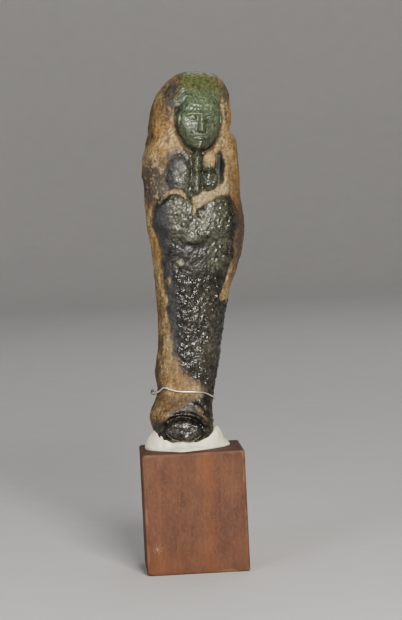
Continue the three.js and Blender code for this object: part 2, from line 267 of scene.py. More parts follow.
# distance back from the target along azimuth and elevation, then rolled about its own axis
def makeCamera():
    turn = Matrix.Rotation(radians(view["azimuth"]), 4, "Z")
    tip = Matrix.Rotation(radians(90 - view["elevation"]), 4, "X")
    roll = Matrix.Rotation(radians(view["roll"]), 4, "Z")
    back = Matrix.Translation((0, 0, view["distance"]))
    lens = bpy.data.cameras.new("camera")
    lens.lens = view["lens"]
    lens.clip_end = 20
    camera = bpy.data.objects.new("camera", lens)
    camera.matrix_world = Matrix.Translation(view["target"]) @ turn @ tip @ roll @ back
    bpy.context.scene.collection.objects.link(camera)
    bpy.context.scene.camera = camera


makeCamera()
bpy.context.scene.view_settings.look = "AgX - Medium High Contrast"
print("stage: camera")

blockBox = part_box("wooden_block")
block = {"low": np.array(blockBox[0]) / mm, "high": np.array(blockBox[1]) / mm}
figure = {
    "height": 94.0, "lean": 4.5, "turn": 13.0, "turnStart": 8.0, "turnEnd": 66.0, "soleX": -1.8,
    "soleRound": 1.1, "crownBase": 80.0, "frontSquareness": 2.25, "backSquareness": 2.9,
    "crown": {"left": 2.0, "right": 3.0, "depth": 2.3},
    "rows": 322, "crownRows": 34, "columns": 264, "crowding": 0.45,
    "left": [
        [0, 7], [2.9, 7.8], [5.8, 8.65], [8, 8.45], [10.6, 7.5], [13.2, 7.1], [17.5, 7.75],
        [24, 7.1], [33.5, 7.6], [46, 9.2], [57, 11.15], [66, 12.05], [71.5, 12.05], [75, 11.3],
        [80, 10.7],
    ],
    "right": [
        [0, 6.2], [3, 7], [5.5, 7.15], [8.1, 6.85], [10.6, 6.95], [13.1, 7.25], [18.2, 7.9],
        [24, 8.45], [28.8, 8.95], [39, 10.45], [45, 12.4], [50, 13.45], [54.5, 13.9],
        [59.4, 13.5], [64.5, 12.55], [72, 11.85], [77.2, 11], [79.2, 9.6], [80, 9.55],
    ],
    "front": [
        [0, 7.6], [3, 8.3], [7, 8], [11, 6.7], [15, 6.1], [24, 6.2], [36, 6.9], [47, 7.6],
        [56, 7.9], [66, 7.7], [73, 7.6], [80, 7.6],
    ],
    "back": [
        [0, 6.8], [4, 7.7], [8, 7.5], [14, 6], [24, 5.9], [38, 6.3], [50, 6.7], [62, 7.1],
        [80, 7.3],
    ],
}
figure["sole"] = (figure["soleX"], 0, block["high"][2] + 1.4)
face = {
    "across": -0.4, "middle": 82, "halfWidth": 5.5, "halfHeight": 7.6, "raise": 0.8, "dome": 0.95,
    "groove": 0.65,
}
brow = {"height": 83.5, "halfHeight": 0.8, "droop": 0.12, "raise": 0.4}
eye = {"across": 2.05, "height": 82.2, "halfWidth": 1.15, "halfHeight": 0.6, "raise": 0.35}
eyeSocket = {"halfWidth": 1.9, "halfHeight": 1.5, "depth": 0.4}
nose = {"top": 82.9, "base": 79.1, "halfWidth": 1.15, "raise": 1.15}
mouth = {"height": 77.6, "halfWidth": 1.9, "lipHeight": 0.55, "raise": 0.35}
chin = {"height": 75.6, "radius": 1.5, "raise": 0.45}
ear = {"across": 5.7, "height": 81.8, "halfWidth": 1, "halfHeight": 2.1, "raise": 0.55}
wigBand = {"height": 88.2, "raise": 0.2}
beard = {"across": -0.9, "top": 74.6, "tip": 63.2, "halfWidth": 1.5, "raise": 1.2}
lappets = [
    {"across": -5.1, "height": 68.2, "halfWidth": 3.3, "halfHeight": 5.8, "raise": 1.3},
    {"across": 2.7, "height": 67, "halfWidth": 2.5, "halfHeight": 3.3, "raise": 1.2},
    {"across": 2.5, "height": 71.4, "halfWidth": 2.1, "halfHeight": 3.8, "raise": 0.6},
]
lappetFold = {"from": (4.7, 65.5), "to": (4.9, 73), "halfWidth": 0.95, "raise": 0.75}
arms = {"bottom": 50.6, "top": 63, "apart": 5, "halfWidth": 5.9, "raise": 1.6, "valley": 0.9}
toe = {
    "across": -0.5, "height": 3.6, "halfWidth": 4.5, "halfHeight": 3.05, "raise": 1.9,
    "groove": 0.85, "lip": 0.25,
}
instepRidges = [((-0.6, 11.2), (-6.2, 6.2)), ((2.6, 9.9), (4.9, 7))]
instepRidge = {"raise": 0.4, "halfWidth": 1}
footRim = {
    "across": 6.2, "middle": 5, "bend": 0.045, "bottom": 1.5, "top": 11, "halfWidth": 1.3, "raise": 0.7,
}
wigHem = {"height": 66.5, "raise": 0.45}
neckNotch = {"left": 77.3, "right": 79.9, "halfHeight": 1.7, "cutLeft": 0.5, "cutRight": 0.75}


# the face's oval: 1 at its middle, 0 on its outline
def faceOval(across, height):
    return inside(across - face["across"], height - face["middle"], face["halfWidth"], face["halfHeight"])


# face: an oval, half plane and half dome, in a groove, with brow, eyes, nose, lips, chin and ears
def faceCarving(fromMiddle, height):
    across = fromMiddle - face["across"]
    side = np.abs(across)
    oval = faceOval(fromMiddle, height)
    dome = np.sqrt(np.maximum(0, 1 - (1 - oval) ** 2))
    plane = face["raise"] * ease(-0.04, 0.3, oval) + face["dome"] * dome
    plane = plane * (1 - 0.5 * ease(82, 91, height))
    groove = face["groove"] * hill(oval + 0.12, 0.16) * (1 - ease(84, 87, height))
    browLine = hill(height - brow["height"] + brow["droop"] * side, brow["halfHeight"])
    browLine = browLine * (1 - ease(3, 4.2, side))
    fromEye, aboveEye = side - eye["across"], height - eye["height"]
    eyeball = ease(0, 0.5, inside(fromEye, aboveEye, eye["halfWidth"], eye["halfHeight"]))
    socket = hill(fromEye, eyeSocket["halfWidth"]) * hill(aboveEye, eyeSocket["halfHeight"])
    down = (nose["top"] - height) / (nose["top"] - nose["base"])
    noseWidth = nose["halfWidth"] * (0.6 + 0.4 * np.clip(down, 0, 1))
    ramp = nose["raise"] * (0.35 + 0.65 * down) * (1 - ease(1, 1.2, down))
    noseLine = np.where(down > 0, ramp, 0.35 * hill(down, 0.35))
    upperLip = hill(height - mouth["height"] - 0.5, mouth["lipHeight"])
    lowerLip = hill(height - mouth["height"] + 0.5, mouth["lipHeight"])
    chinBall = hill(across, chin["radius"]) * hill(height - chin["height"], chin["radius"])
    earOval = inside(side - ear["across"], height - ear["height"], ear["halfWidth"], ear["halfHeight"])
    ears = ease(0, 0.5, earOval)
    band = ease(-0.5, 0.5, height - wigBand["height"] + 0.05 * across ** 2) * ease(-0.3, 0, oval)
    return (
        plane - groove - eyeSocket["depth"] * socket + noseLine * hill(across, noseWidth)
        + brow["raise"] * browLine + eye["raise"] * eyeball
        + mouth["raise"] * hill(side, mouth["halfWidth"]) * (upperLip + lowerLip)
        + chin["raise"] * chinBall + ear["raise"] * ears + wigBand["raise"] * band
    )


# a ridge along the straight line between two places, by the distance from that line
def ridge(across, height, start, end, halfWidth):
    dx, dz = end[0] - start[0], end[1] - start[1]
    t = np.clip(((across - start[0]) * dx + (height - start[1]) * dz) / (dx * dx + dz * dz), 0, 1)
    return hill(np.hypot(across - start[0] - t * dx, height - start[1] - t * dz), halfWidth)


# chest: the highest of the wig's rounded ends, a fold beside them and the beard
def chestCarving(across, height):
    forms = [
        lump["raise"] * ease(0, 0.6, inside(
            across - lump["across"], height - lump["height"], lump["halfWidth"], lump["halfHeight"],
        ))
        for lump in lappets
    ]
    fold = ridge(across, height, lappetFold["from"], lappetFold["to"], lappetFold["halfWidth"])
    strand = hill(across - beard["across"], beard["halfWidth"]) * ease(-0.6, 0.8, height - beard["tip"])
    strand = strand * (1 - ease(0, 1.5, height - beard["top"]))
    return np.maximum.reduce([*forms, lappetFold["raise"] * fold, beard["raise"] * strand])


# crossed arms: two lobes over a wider lap, with a valley between them
def armCarving(across, height):
    middle = (arms["top"] + arms["bottom"]) / 2
    halfHeight = (arms["top"] - arms["bottom"]) / 2
    leftLobe = inside(across + arms["apart"], height - middle - 0.4, arms["halfWidth"], halfHeight)
    rightLobe = inside(across - arms["apart"], height - middle - 0.4, arms["halfWidth"], halfHeight)
    lap = inside(across, height - middle + 1.6, arms["halfWidth"] + 2.2, halfHeight - 1.2)
    bulge = np.maximum(np.maximum(leftLobe, rightLobe), lap)
    softness = 0.28 + 0.3 * ease(0, 4, middle - height)
    valley = arms["valley"] * hill(across, 2) * ease(-4, 4, height - middle)
    return arms["raise"] * ease(0, softness, bulge) - valley * ease(0, 0.2, bulge)


# foot: the toes' oval pad in a lipped groove, two slanting folds and a bent rim on the right
def footCarving(across, height):
    oval = inside(across - toe["across"], height - toe["height"], toe["halfWidth"], toe["halfHeight"])
    pad = toe["raise"] * ease(0, 0.3, oval)
    groove = toe["groove"] * hill(oval + 0.14, 0.2) * ease(2, 5, height)
    lip = toe["lip"] * hill(oval + 0.4, 0.2) * ease(3, 6, height)
    folds = [ridge(across, height, start, end, instepRidge["halfWidth"]) for start, end in instepRidges]
    rimMiddle = footRim["across"] - footRim["bend"] * (height - footRim["middle"]) ** 2
    rimEnds = ease(-1, 1, height - footRim["bottom"]) * (1 - ease(-2, 1, height - footRim["top"]))
    rim = footRim["raise"] * hill(across - rimMiddle, footRim["halfWidth"]) * rimEnds
    return pad - groove + lip + rim + instepRidge["raise"] * np.maximum(*folds)


# all the carving: raised on the front, with the wig's hem at the back and a notch at the neck
def carving(across, height, facing):
    front = ease(0.05, 0.5, facing)
    hem = wigHem["raise"] * ease(-0.6, 0.6, height - wigHem["height"]) * ease(0, 0.5, -facing)
    notchHeight = np.where(across < 0, neckNotch["left"], neckNotch["right"])
    notchCut = np.where(across < 0, neckNotch["cutLeft"], neckNotch["cutRight"])
    notch = notchCut * hill(height - notchHeight, neckNotch["halfHeight"]) * hill(facing, 0.7)
    relief = faceCarving(across, height) + chestCarving(across, height)
    return hem - notch + front * (relief + armCarving(across, height) + footCarving(across, height))


# share of the section's radius left in the crown's dome: a superellipse quarter
def crownScale(height, squareness):
    up = np.clip((height - figure["crownBase"]) / (figure["height"] - figure["crownBase"]), 0, 1)
    return (1 - up ** squareness) ** (1 / squareness)


# the sole's rounded edge: 1 - 0.14 (1 - height / soleRound)^2
def soleScale(height):
    return 1 - 0.14 * np.maximum(0, 1 - height / figure["soleRound"]) ** 2


# points of the skin: a superellipse at each height, domed at the crown, pushed out by the carving and
# twisted; with each point's place across and how far it faces the front
def figurePoints(angle, height, scale=1.0, grow=0.0):
    outX, outY = np.sin(angle), -np.cos(angle)
    leftSide, frontSide = outX < 0, outY < 0
    width = np.where(leftSide, along(figure["left"], height), along(figure["right"], height))
    depth = np.where(frontSide, along(figure["front"], height), along(figure["back"], height))
    power = np.where(frontSide, 2 / figure["frontSquareness"], 2 / figure["backSquareness"])
    x = width * np.sign(outX) * np.abs(outX) ** power
    y = depth * np.sign(outY) * np.abs(outY) ** power
    normalX, normalY = x / width ** 2, y / depth ** 2
    length = np.hypot(normalX, normalY)
    crown = crownScale(height, figure["crown"]["depth"])
    crownLeft = crownScale(height, figure["crown"]["left"])
    crownRight = crownScale(height, figure["crown"]["right"])
    relief = carving(x, height, -y / depth) * crown + grow
    skinX = x * np.where(leftSide, crownLeft, crownRight) + normalX / length * relief
    skinY = y * crown + normalY / length * relief
    turn = np.radians(figure["turn"]) * ease(figure["turnStart"], figure["turnEnd"], height)
    turnedX = scale * (skinX * np.cos(turn) - skinY * np.sin(turn))
    turnedY = scale * (skinX * np.sin(turn) + skinY * np.cos(turn))
    points = np.stack([turnedX, turnedY, height + 0 * turnedX], axis=-1)
    return points, x, -y / depth


# edges of the glaze seen from the front, in millimetres: left, right and stripes as [z, x], bands as
# [x, z], the width of the soft left edge as [z, width], and the height where the right edge ends
glaze = {
    "left": [
        [3.5, -7], [6.5, -5.5], [8.5, -2.5], [11, 1.5], [13, 4.5], [15, 3.5], [17, 0.5], [20, -2],
        [24, -3.5], [36, -5.5], [48, -7.5], [56, -9.5], [61, -9], [62, -8],
    ],
    "right": [[36, 9.5], [37, 8], [43, 9.5], [50, 11], [58, 11], [63, 10]],
    "fringe": [[10, 1.4], [14, 2.8], [18, 3], [24, 1.8], [30, 1], [50, 0.9], [60, 0.8]],
    "bandLeft": [[-8.5, 60.5], [-6, 63], [-4, 63.5], [-2, 62.5], [-1, 61.5]],
    "bandUpper": [[-0.5, 61.5], [2, 63.5], [5.5, 64.5], [9, 67.5]],
    "bandLower": [[-0.5, 56.5], [0.5, 58.5], [3, 60.5], [9, 64]],
    "stripe": [[22, -2.8], [26, -3.4], [36, -4.3], [48, -5.6]],
    "mattStripe": [[22, -2.8], [48, -5.6]],
    "lowEnd": 36.2,
}

# rounded areas seen from the front: middle (x, z), half-size (x, z) and the width of the soft edge
areas = {
    "leftEnd": ((-3.4, 68.4), (3.4, 5.9), 0.9), "leftEndRim": ((-5.7, 67.5), (0.9, 4.6), 0.6),
    "leftEndShine": ((-2.4, 66.2), (1.9, 2.8), 1), "mattLeftEnd": ((-4.2, 71), (2.6, 2.6), 1.2),
    "column": ((0.6, 66.5), (2.2, 9.4), 0.8), "rightEnd": ((4.5, 66.7), (2.9, 3.5), 0.8),
    "fold": ((6.6, 69.6), (1.2, 4.9), 0.6), "foldRidge": ((7.9, 68), (0.8, 5.5), 0.5),
    "besideBeard": ((4.2, 72.2), (2, 2.4), 0.8), "crown": ((0.4, 87), (6, 8.5), 2),
    "temple": ((-6.4, 87.5), (2.3, 5.6), 1.6), "templeRight": ((7.6, 85), (1.0, 7), 0.9),
    "tealTemple": ((-3.6, 86), (1.6, 3), 1.2), "shoulder": ((-9.4, 65.6), (3.8, 6.8), 2.2),
    "rightChest": ((9.8, 65.5), (1.5, 7), 1.2), "rightSide": ((12.4, 50), (1.8, 14), 1.4),
    "leftFlank": ((-7.6, 54), (2.6, 7.2), 1.2), "mattFlank": ((-7.6, 54), (2.4, 7.4), 1.2),
    "forearm": ((4.0, 58.4), (2.9, 3.8), 1.5), "elbow": ((8.2, 57), (1.9, 5), 1),
    "underElbow": ((7, 49), (2.6, 4.2), 1.4), "underArms": ((0.5, 46.8), (5.5, 3.8), 1.5),
    "mattLap": ((0.5, 47), (5.5, 3.6), 1.5), "crumb": ((-2.5, 45.8), (0.65, 0.65), 0.25),
    "crumbRise": ((-2.5, 45.8), (0.6, 0.6), 0.4), "nick": ((-5.2, 41.3), (0.35, 0.8), 0.3),
    "curl": ((8.2, 37.2), (0.9, 0.45), 0.3), "shin": ((2.5, 28), (5, 9), 3),
    "blistered": ((2.5, 27), (5.5, 10), 3), "shinGlazeAndSheen": ((4.6, 28), (3.6, 9), 2.5),
    "clean": ((-1, 17), (5.5, 6), 2.5), "heel": ((-7.4, 3), (1.5, 3), 1.2),
    "instep": ((-2.5, 8.4), (4.5, 2.4), 1.5), "shadedInstep": ((2.8, 8.7), (3.8, 1.8), 0.8),
    "mattInstep": ((2.4, 8.9), (3.4, 1.6), 0.8),
}
overCrown = ((0.4, 0.5), (5.2, 4.6), 1.2)  # seen from above: x and y

# the glaze's drip along the lower edge of the arms: a ridge in the relief, with a painted glint laid on it
drip = {"across": 0.3, "height": 52.1, "halfWidth": 3.6, "halfHeight": 1.5, "raise": 0.75}

# linear colours of the fired body and of the glaze in its several states; paintedSheen is a pale grey laid
# on the glaze as painted sheen
tones = {
    "sand": (0.385, 0.275, 0.135), "ochre": (0.275, 0.165, 0.062), "umber": (0.070, 0.045, 0.024),
    "pale": (0.40, 0.32, 0.19), "rust": (0.085, 0.050, 0.030), "pitch": (0.008, 0.007, 0.006),
    "coal": (0.019, 0.017, 0.014), "smoke": (0.070, 0.062, 0.048), "slate": (0.038, 0.038, 0.041),
    "olive": (0.098, 0.100, 0.070), "moss": (0.058, 0.066, 0.040), "leaf": (0.099, 0.130, 0.076),
    "teal": (0.065, 0.098, 0.070), "lime": (0.110, 0.125, 0.052), "straw": (0.25, 0.24, 0.13),
    "ash": (0.085, 0.084, 0.076), "tawny": (0.170, 0.115, 0.060), "paintedSheen": (0.150, 0.152, 0.120),
}


# a rounded patch, a superellipse of exponent 2.4: 1 inside and 0 outside, across a soft edge
def patch(x, z, centre, half, edge):
    across, up = np.abs((x - centre[0]) / half[0]), np.abs((z - centre[1]) / half[1])
    shape = 1 - (across ** 2.4 + up ** 2.4) ** (1 / 2.4)
    return ease(-edge, edge, shape * min(half))


# one of the named areas, on the masks' own wandering places
def area(m, name):
    return patch(m["x"], m["z"], *areas[name])


# the drip: a hill across times a hill up
def dripShape(m):
    across = hill(m["x"] - drip["across"], drip["halfWidth"])
    return across * hill(m["z"] - drip["height"], drip["halfHeight"])


# a mask with a soft edge, half of it turned into broken specks by fine noise
def broken(mask, speckle):
    return 0.5 * mask + 0.5 * ease(0.3, 0.7, mask + 2.2 * speckle * mask * (1 - mask))


# colour laid over another by a mask: a + mask (b - a)
def over(colour, mask, tone):
    return colour + mask[..., None] * (np.array(tones[tone]) - colour)


# where the glaze covers the body, where it runs thin or matt, and the bare bands of the chest
def glazeMasks(points, across, facing):
    wander = 0.45 * noise(points, 2.6, 11) + 0.35 * noise(points, 1.1, 12) + 0.2 * noise(points, 0.5, 13)
    drift = 0.35 * noise(points, 2.2, 14) + 0.25 * noise(points, 0.8, 15)
    speckle = 0.6 * noise(points, 0.75, 21) + 0.6 * noise(points, 0.38, 22)
    x, z = points[..., 0] + wander, points[..., 2] + drift
    named = lambda name: patch(x, z, *areas[name])
    ragged = 0.12 * noise(points, 4.5, 16) + 0.07 * noise(points, 1.6, 17)
    wrapped = 0.5 * ease(0, 4, x) * (1 - ease(33, 39, z + 8 * ragged))  # round the right of the leg
    front = ease(0, 0.16, facing + ragged + wrapped)
    oval = faceOval(across + 0.5 * wander, points[..., 2] + drift)

    # legs and arms, between the edges on the left and right and under the bands of the chest
    fringe = along(glaze["fringe"], z)
    body = ease(-0.9, 0.9, (x - along(glaze["left"], z)) / fringe) * ease(-0.5, 0.5, 62.6 - z)
    raggedHeight = z + 6 * noise(points, 3.2, 18) * ease(0.2, -0.2, facing)
    raggedHeight = raggedHeight + 1.5 * noise(points, 1.4, 19)
    rightEdge = np.where(raggedHeight < glaze["lowEnd"], 30, along(glaze["right"], z))
    body = broken(body * ease(-0.5, 0.5, rightEdge - x), speckle)

    # chest: the left end of the wig, the beard, the right end's lower half and the fold beside it
    leftEnd = named("leftEnd")
    column = named("column")
    rightEnd = named("rightEnd")
    fold = named("fold")
    chest = broken(np.maximum.reduce([leftEnd, column, rightEnd, fold]), speckle)

    # bands left bare between the ends of the wig and the arms
    bandLeft = hill(z - along(glaze["bandLeft"], x), 0.85) * ease(-8.8, -8, x) * (1 - ease(-2.2, -1.2, x))
    lower, upper = along(glaze["bandLower"], x), along(glaze["bandUpper"], x)
    bandRight = ease(-0.35, 0.35, z - lower) * ease(-0.35, 0.35, upper - z) * ease(-0.4, 0.6, x)
    bandRight = bandRight * (1 - ease(8.2, 9.2, x))
    bands = np.maximum(ease(0.1, 0.6, bandLeft), bandRight) * front

    # head: over the face and up over the crown
    stray = 1.6 * noise(points, 2.4, 26)
    crown = patch(x + stray, z, *areas["crown"])
    head = broken(np.maximum(ease(-0.17, -0.03, oval), crown), speckle)
    overTop = patch(x, points[..., 1], *overCrown) * ease(90, 91.5, z)
    head = np.maximum(head * front, broken(overTop, speckle))

    # thin glaze and dirt: beside the head, on the left shoulder, down the sides and over the back
    cloud = noise(points, 9, 23) + 0.6 * noise(points, 3.4, 24)
    behind = 0.8 * ease(-0.1, 0.7, cloud) * (1 - ease(-0.25, 0.0, facing))
    thin = np.maximum.reduce([
        named("shoulder"), 0.9 * named("temple"), 0.8 * named("templeRight"), 0.8 * named("rightSide"),
        0.55 * named("rightChest"), 0.9 * named("heel"), behind,
    ])

    # worn crests of the instep's folds and of the rim on the right of the foot
    crests = [ridge(across, z, start, end, 0.75) for start, end in instepRidges]
    rimAcross = footRim["across"] - footRim["bend"] * (z - footRim["middle"]) ** 2
    rim = hill(across - rimAcross, 0.6) * ease(3.5, 5, z) * (1 - ease(8.5, 10, z))
    crests = np.maximum.reduce([*crests, 0.5 * rim]) * front

    solid = np.maximum.reduce([body * (1 - bands) * front, chest * (1 - bands) * front, head])
    return {
        "x": x, "z": z, "facing": facing, "front": front, "speckle": speckle, "oval": oval,
        "solid": solid, "thin": thin, "bands": bands, "crests": crests, "head": head,
        "leftEnd": leftEnd, "column": column, "rightEnd": rightEnd, "fold": fold,
    }


# the fired body: sand and ochre in clouds, dark pores, pale bands, a rusty right side; painted shade low
# on the legs and on the right of the chest
def bodyColour(points, m):
    cloud = 0.6 * noise(points, 5.5, 81) + 0.5 * noise(points, 2.3, 82)
    grain = 0.7 * noise(points * np.array([1, 1, 0.4]), 0.8, 83) + 0.6 * noise(points, 0.42, 84)
    clean = area(m, "clean")
    sand = np.broadcast_to(np.array(tones["sand"]), points.shape)
    colour = over(sand, ease(-0.15, 0.55, cloud), "ochre")
    colour = over(colour, (0.6 - 0.4 * clean) * ease(0.05, 0.5, grain), "umber")
    colour = over(colour, 0.6 * ease(0.1, 0.6, -grain) * ease(-0.4, 0.3, -cloud), "pale")
    rusty = ease(9.5, 11.5, m["x"]) * ease(40, 47, m["z"]) * (1 - ease(64, 70, m["z"]))
    colour = over(colour, 0.75 * rusty, "rust")
    onFoot = 1 - ease(11, 13.5, m["z"])
    colour = over(colour, 0.6 * onFoot * ease(-0.35, 0.3, cloud + 0.5 * grain), "umber")
    colour = over(colour, 0.85 * m["bands"], "pale")
    # painted shade: the lower left of the legs and the body low down, under the arms, darker as if less
    # lit
    shadedLowLeft = ease(10, 13, m["z"]) * (1 - ease(26, 34, m["z"])) * (1 - ease(-6.4, -4.4, m["x"]))
    below = 1 - ease(40, 48, m["z"])
    colour = over(colour, np.maximum(0.8 * shadedLowLeft, 0.45 * below) * ease(-0.9, 0.2, grain), "umber")
    colour = over(colour, 0.35 * area(m, "besideBeard"), "ochre")
    rightFlank = ease(7.4, 9, m["x"]) * ease(58, 64, m["z"]) * (1 - ease(76, 80, m["z"]))
    colour = over(colour, 0.85 * rightFlank * ease(-0.6, 0.1, cloud), "ochre")
    # painted shade: the right flank of the chest a little darker
    colour = over(colour, 0.2 * rightFlank, "umber")
    ridgeTop = area(m, "foldRidge") * m["front"]
    colour = over(colour, 0.6 * ridgeTop, "pale")
    specks = m["thin"] * ease(-0.15, 0.15, m["thin"] - 0.6 + 1.1 * m["speckle"] + 0.6 * cloud)
    return over(over(colour, 0.25 * m["thin"], "umber"), 0.85 * specks, "slate")


# the glaze: coal on the legs, slate where it is matt with a painted bluish sheen, olive on the arms, green
# on head and beard; painted sheen and painted shade in places
def glazeColour(points, m):
    x, z = m["x"], m["z"]
    cloud = 0.6 * noise(points, 4.2, 91) + 0.5 * noise(points, 1.6, 92)
    grain = 0.6 * noise(points, 0.8, 93) + 0.5 * noise(points, 0.4, 94)
    coal = np.broadcast_to(np.array(tones["coal"]), points.shape)
    colour = over(coal, 0.55 * ease(0, 0.7, grain), "smoke")
    # lighter smoke glaze on the shin, with painted sheen in pale grey on its raised grains
    shinGlazeAndSheen = area(m, "shinGlazeAndSheen")
    colour = over(colour, 0.7 * shinGlazeAndSheen * ease(-0.6, 0.3, cloud), "smoke")
    colour = over(colour, 0.5 * shinGlazeAndSheen * ease(0, 0.6, grain), "paintedSheen")
    colour = over(colour, 0.5 * (1 - ease(6, 8, z)) * ease(-0.4, 0.3, grain), "smoke")
    # the matt glaze's slate grey with a painted bluish sheen: the left flank, the leg's stripe and the rim
    # of the wig's left end
    stripe = hill(x - along(glaze["stripe"], z), 1.6) * ease(20, 26, z) * ease(48, 46, z)
    slate = np.maximum.reduce([area(m, "leftFlank"), stripe, area(m, "leftEndRim")])
    colour = over(colour, 0.9 * slate, "slate")
    lobes = ease(50.2, 53, z) * ease(-6.4, -4.8, x) * (1 - ease(8.0, 9.8, x)) * (1 - m["head"])
    lobes = lobes * (1 - ease(63.5, 65, z))
    colour = over(colour, 0.9 * lobes * ease(-0.9, 0.5, grain + 0.4 * cloud), "olive")
    # painted sheen in pale grey over the right forearm's lobe
    colour = over(colour, 0.85 * area(m, "forearm") * ease(-0.8, 0.5, grain), "paintedSheen")
    colour = over(colour, 0.7 * area(m, "elbow") * ease(-0.7, 0.3, grain), "moss")
    # painted glint in pale grey along the drip's ridge
    colour = over(colour, 0.8 * dripShape(m) * ease(-0.8, 0.2, grain), "paintedSheen")
    colour = over(colour, 0.8 * area(m, "underElbow") * ease(-0.8, 0.2, grain), "olive")
    colour = over(colour, 0.85 * m["leftEnd"] * ease(60, 62, z) * ease(-1, 0.3, grain), "ash")
    # painted sheen in pale grey on the lower half of the wig's left end
    colour = over(colour, 0.6 * area(m, "leftEndShine") * ease(-0.8, 0.3, grain), "paintedSheen")
    chest = np.maximum(m["column"], m["rightEnd"]) * ease(56, 62, z) * (1 - m["head"])
    colour = over(colour, 0.9 * chest * ease(-1.1, 0.1, grain), "moss")
    colour = over(colour, 0.5 * m["column"] * ease(60, 64, z) * ease(-0.2, 0.4, grain + cloud), "olive")
    colour = over(colour, 0.9 * m["fold"] * (1 - m["rightEnd"]) * (1 - m["head"]), "pitch")
    # painted shade: pitch in the deep recess right of the instep, above the toe pad
    colour = over(colour, 0.8 * area(m, "shadedInstep"), "pitch")
    instep = area(m, "instep") * ease(0.05, 0.5, grain + 0.6 * cloud)
    colour = over(colour, np.maximum(0.5 * instep, 0.8 * m["crests"] * ease(-0.5, 0.1, grain)), "tawny")

    # head: moss round the face, leaf on the brow, teal at the left temple, lime over the crown
    moss = np.broadcast_to(np.array(tones["moss"]), points.shape)
    headTone = over(moss, ease(74, 86, z + 2 * cloud), "leaf")
    headTone = over(headTone, 0.7 * area(m, "tealTemple"), "teal")
    headTone = over(headTone, ease(88.2, 90.6, z + 1.4 * cloud + 0.8 * grain), "lime")
    headTone = over(headTone, 0.5 * ease(0.1, 0.6, grain), "pitch")
    # painted shade: a dark pitch line in the groove round the lower face
    headTone = over(headTone, 0.55 * hill(m["oval"] + 0.06, 0.14) * (1 - ease(80, 86, z)), "pitch")
    colour = colour + m["head"][..., None] * (headTone - colour)
    colour = over(colour, area(m, "crumb"), "straw")
    return over(colour, 0.7 * area(m, "nick"), "sand")


# heights of the rings: closer on the foot and from the arms up, closest on the face, then by angle
# over the crown
def ringHeights():
    browTop = 88
    fine = np.linspace(0, browTop, 2000)
    density = 1 + 0.35 * (1 - ease(10, 14, fine)) + 0.25 * ease(46, 50, fine)
    density = density + 0.55 * ease(72, 74, fine)
    count = np.cumsum(density)
    count = (count - count[0]) / (count[-1] - count[0])
    body = np.interp(np.linspace(0, 1, figure["rows"]), count, fine)
    dome = figure["height"] - figure["crownBase"]
    first = np.arcsin((browTop - figure["crownBase"]) / dome)
    angles = np.linspace(first, np.pi / 2, figure["crownRows"] + 1)[1:-1]
    return np.concatenate([body, figure["crownBase"] + dome * np.sin(angles)])


# where the glaze is matt and smooth: left flank, leg's stripe, lap, fold, left end of the wig, instep
def mattGlaze(m):
    z = m["z"]
    stripe = hill(m["x"] - along(glaze["mattStripe"], z), 1.8) * ease(20, 26, z) * ease(48, 46, z)
    return np.maximum.reduce([
        0.8 * area(m, "mattFlank"), 0.75 * stripe, 0.35 * area(m, "mattLap"), m["fold"],
        0.7 * area(m, "mattLeftEnd"), 0.7 * area(m, "mattInstep"),
    ])


# how strongly the glaze has bubbled: most on legs and arms, less where it is matt and on the head
def bubbling(m):
    underArms = 0.6 * area(m, "underArms")
    smooth = np.maximum.reduce([mattGlaze(m), 0.68 * m["head"], 0.35 * m["column"], underArms])
    strength = 0.5 + 0.5 * ease(9, 15, m["z"]) + 0.25 * area(m, "shin")
    return (1 - smooth) * strength * m["front"] * m["solid"]


# fine relief along the skin's normal: worn lumps, the glaze's own thickness, its bubbles and pits
def fineRelief(points, m):
    z = points[..., 2]
    lumps = 0.13 * noise(points, 4.5, 31) + 0.10 * noise(points, 2.0, 32)
    warp = points + 0.45 * np.stack([noise(points, 1.1, 33 + k) for k in range(3)], axis=-1)
    pitDistance, pitNumber = cells(warp, 1.25, 41)
    blistered = area(m, "blistered")
    blister = 0.22 * hill(cells(warp, 1.3, 45)[0], 0.75)
    blister = blister + blistered * (0.3 * hill(cells(warp, 1.8, 48)[0], 1.0) - blister)
    bubbles = 0.17 * noise(warp, 1.05, 42) + 0.14 * noise(warp, 0.62, 43) + 0.11 * noise(points, 1.7, 44)
    bubbles = bubbles * (1 - 0.4 * blistered)
    pit = 0.25 * hill(pitDistance, 0.45) * (1 - ease(0.25, 0.4, pitNumber))
    crinkle = noise(points * np.array([0.55, 1, 1.2]), 0.8, 46) + 0.5 * noise(points, 0.55, 47)
    crinkle = 0.16 * crinkle * (1 - ease(7.5, 10, z))
    pore = hill(cells(points, 1.3, 52)[0], 0.28)
    bareGrain = 0.06 * noise(points * np.array([1, 1, 0.5]), 0.6, 51) - 0.09 * pore
    bareGrain = bareGrain + 0.03 * noise(points, 0.38, 53)
    glazed = 0.11 * m["solid"] + bubbling(m) * (bubbles + blister - 0.1 - pit)
    glazed = glazed + m["solid"] * m["front"] * crinkle
    seam = 0.16 * hill(m["facing"] - 0.02, 0.055) * ease(14, 20, z) * (1 - ease(60, 66, z))
    blob = 0.4 * area(m, "crumbRise") + drip["raise"] * dripShape(m)
    curl = 0.3 * area(m, "curl")
    deposit = 0.07 * m["thin"] * ease(-0.2, 0.3, m["speckle"])
    return lumps + glazed + (1 - m["solid"]) * (bareGrain + deposit) + seam + blob + curl


